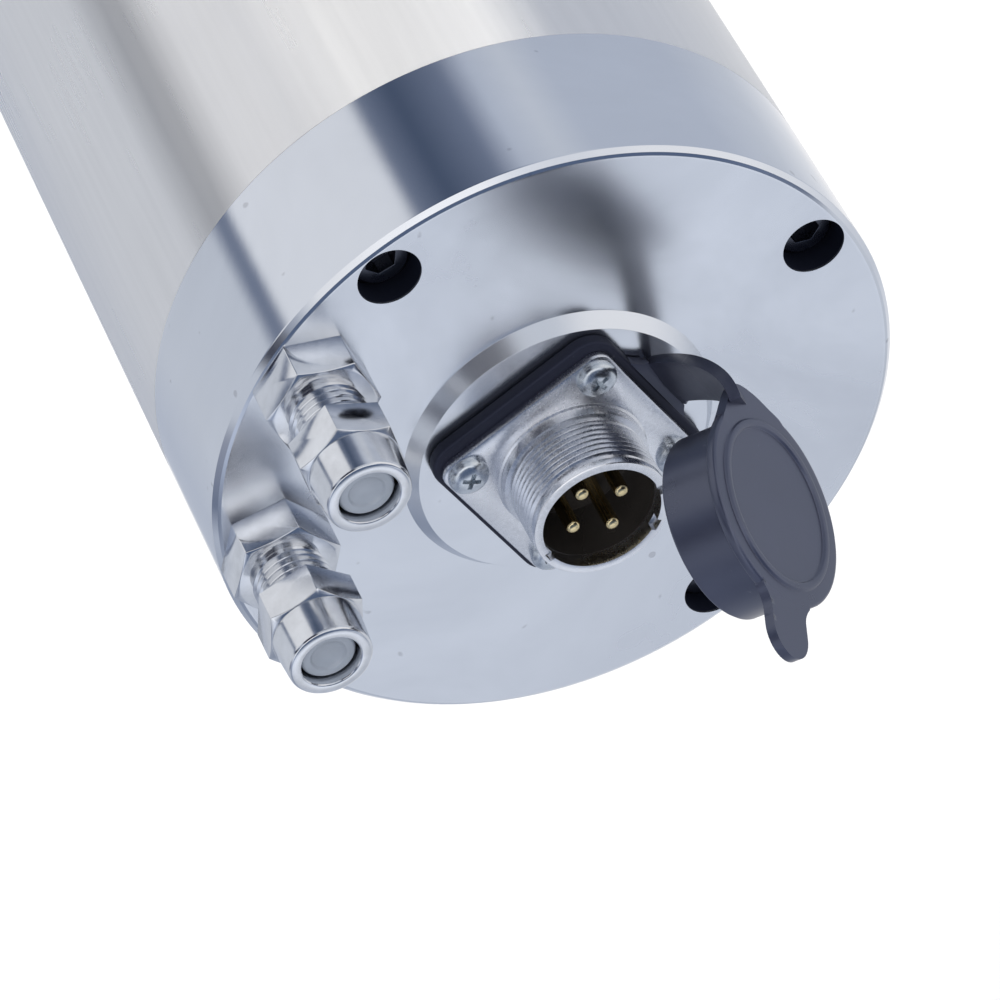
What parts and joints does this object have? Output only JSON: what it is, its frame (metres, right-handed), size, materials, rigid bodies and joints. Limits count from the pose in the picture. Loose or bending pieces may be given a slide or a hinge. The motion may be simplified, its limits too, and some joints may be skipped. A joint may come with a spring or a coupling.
{
  "type": "motor spindle",
  "caption": "Cylindrical water-cooled router spindle motor with a collet nose, two hose fittings and a capped power socket.",
  "frame": {"origin": "on the spindle axis at the middle of the cylindrical body, where a clamp holds it", "axes": "+Z along the spindle axis towards the power socket and hose fittings; the collet points along -Z; -X runs between the two hose fittings"},
  "size_m": [0.1, 0.1, 0.3009],
  "materials": {
    "stainless": "satin, lengthwise grain",
    "polished_steel": "mirror polished",
    "jacket_aluminium": "machined",
    "black_rubber": "matt",
    "cap_rubber": "smooth satin",
    "lamination_steel": "stacked sheet",
    "copper_winding": "varnished copper wire",
    "lead_sheath": "silicone sheathed wire",
    "plate_iron": "machined",
    "screw_steel": "bright zinc",
    "bearing_steel": "ground and polished",
    "ground_steel": "ground",
    "rotor_aluminium": "die cast",
    "nut_steel": "ground, hardened",
    "socket_nickel": "satin nickel plate",
    "insulator_plastic": "moulded",
    "gold_plate": "gold plated",
    "fitting_chrome": "bright nickel plate",
    "sleeve_brass": "turned",
    "milky_plastic": "soft translucent"
  },
  "bodies": {
    "housing": {"body_tube": "stainless", "cooling_jacket": "jacket_aluminium", "jacket_seals": "black_rubber", "stator_core": "lamination_steel", "stator_windings": "copper_winding", "phase_leads": "lead_sheath", "rear_bearing_plate": "plate_iron", "rear_cover": "polished_steel", "cover_screws": "screw_steel", "water_seals": "black_rubber", "front_cover": "polished_steel", "front_cover_screws": "screw_steel", "front_bearing_cap": "polished_steel", "front_cap_screws": "screw_steel", "front_outer_rings": "bearing_steel", "outer_spacer": "bearing_steel", "rear_outer_rings": "bearing_steel", "preload_spring": "bearing_steel", "connector_shell": "socket_nickel", "connector_insulator": "insulator_plastic", "socket_liner": "insulator_plastic", "connector_pins": "gold_plate", "connector_screws": "screw_steel", "socket_gasket": "black_rubber", "inlet_fitting": "fitting_chrome", "outlet_fitting": "fitting_chrome"},
    "rotor": {"shaft": "ground_steel", "rotor_core": "lamination_steel", "rotor_end_rings": "rotor_aluminium", "front_inner_rings": "bearing_steel", "inner_spacer": "bearing_steel", "rear_inner_rings": "bearing_steel", "rear_locknut": "bearing_steel", "slinger_nut": "ground_steel"},
    "front_cage": {"front_bearing_balls": "bearing_steel"},
    "rear_cage": {"rear_bearing_balls": "bearing_steel"},
    "collet_body": {"collet": "ground_steel"},
    "collet_nut_body": {"collet_nut": "nut_steel"},
    "strap_body": {"cap_strap": "black_rubber"},
    "cap_body": {"dust_cap": "cap_rubber"},
    "inlet_sleeve_body": {"inlet_sleeve": "sleeve_brass"},
    "inlet_nut_body": {"inlet_nut": "fitting_chrome"},
    "inlet_plug_body": {"inlet_plug": "milky_plastic"},
    "outlet_sleeve_body": {"outlet_sleeve": "sleeve_brass"},
    "outlet_nut_body": {"outlet_nut": "fitting_chrome"},
    "outlet_plug_body": {"outlet_plug": "milky_plastic"}
  },
  "joints": [
    {"name": "shaft_spin", "type": "hinge", "parent": "housing", "child": "rotor", "pos_m": [0, 0, 0], "axis": [0, 0, 1], "continuous": true},
    {"name": "front_cage_spin", "type": "hinge", "parent": "housing", "child": "front_cage", "pos_m": [0, 0, 0], "axis": [0, 0, 1], "continuous": true},
    {"name": "rear_cage_spin", "type": "hinge", "parent": "housing", "child": "rear_cage", "pos_m": [0, 0, 0], "axis": [0, 0, 1], "continuous": true},
    {"name": "collet_travel", "type": "slide", "parent": "rotor", "child": "collet_body", "axis": [0, 0, -1], "range_m": [0, 0.009]},
    {"name": "collet_nut_turn", "type": "hinge", "parent": "collet_body", "child": "collet_nut_body", "pos_m": [0, 0, -0.127], "axis": [0, 0, -1], "range_deg": [0, 2160]},
    {"name": "cap_swing", "type": "hinge", "parent": "housing", "child": "strap_body", "pos_m": [0.01128, 0.01418, 0.12105], "axis": [0.7826, -0.6225, 0], "range_deg": [-25, 66.5], "deforming": ["cap_strap"]},
    {"name": "cap_press", "type": "slide", "parent": "strap_body", "child": "cap_body", "axis": [-0.5709, -0.7177, -0.3987], "range_m": [0, 0.0079], "deforming": ["cap_strap"]},
    {"name": "inlet_nut_travel", "type": "slide", "parent": "housing", "child": "inlet_sleeve_body", "axis": [0, 0, 1], "range_m": [0, 0.003]},
    {"name": "inlet_nut_turn", "type": "hinge", "parent": "inlet_sleeve_body", "child": "inlet_nut_body", "pos_m": [-0.03947, 0.01436, 0.122], "axis": [0, 0, 1], "range_deg": [0, 1080]},
    {"name": "inlet_plug_pull", "type": "slide", "parent": "inlet_sleeve_body", "child": "inlet_plug_body", "axis": [0, 0, 1], "range_m": [0, 0.012]},
    {"name": "outlet_nut_travel", "type": "slide", "parent": "housing", "child": "outlet_sleeve_body", "axis": [0, 0, 1], "range_m": [0, 0.003]},
    {"name": "outlet_nut_turn", "type": "hinge", "parent": "outlet_sleeve_body", "child": "outlet_nut_body", "pos_m": [-0.03947, -0.01436, 0.122], "axis": [0, 0, 1], "range_deg": [0, 1080]},
    {"name": "outlet_plug_pull", "type": "slide", "parent": "outlet_sleeve_body", "child": "outlet_plug_body", "axis": [0, 0, 1], "range_m": [0, 0.012]}
  ],
  "couplings": [
    {"joint": "front_cage_spin", "follows": "shaft_spin", "ratio": 0.4083},
    {"joint": "rear_cage_spin", "follows": "shaft_spin", "ratio": 0.3936},
    {"joint": "collet_nut_turn", "follows": "collet_travel", "rad_per_m": 4188.8},
    {"joint": "inlet_nut_turn", "follows": "inlet_nut_travel", "rad_per_m": 6283.2},
    {"joint": "outlet_nut_turn", "follows": "outlet_nut_travel", "rad_per_m": 6283.2}
  ]
}
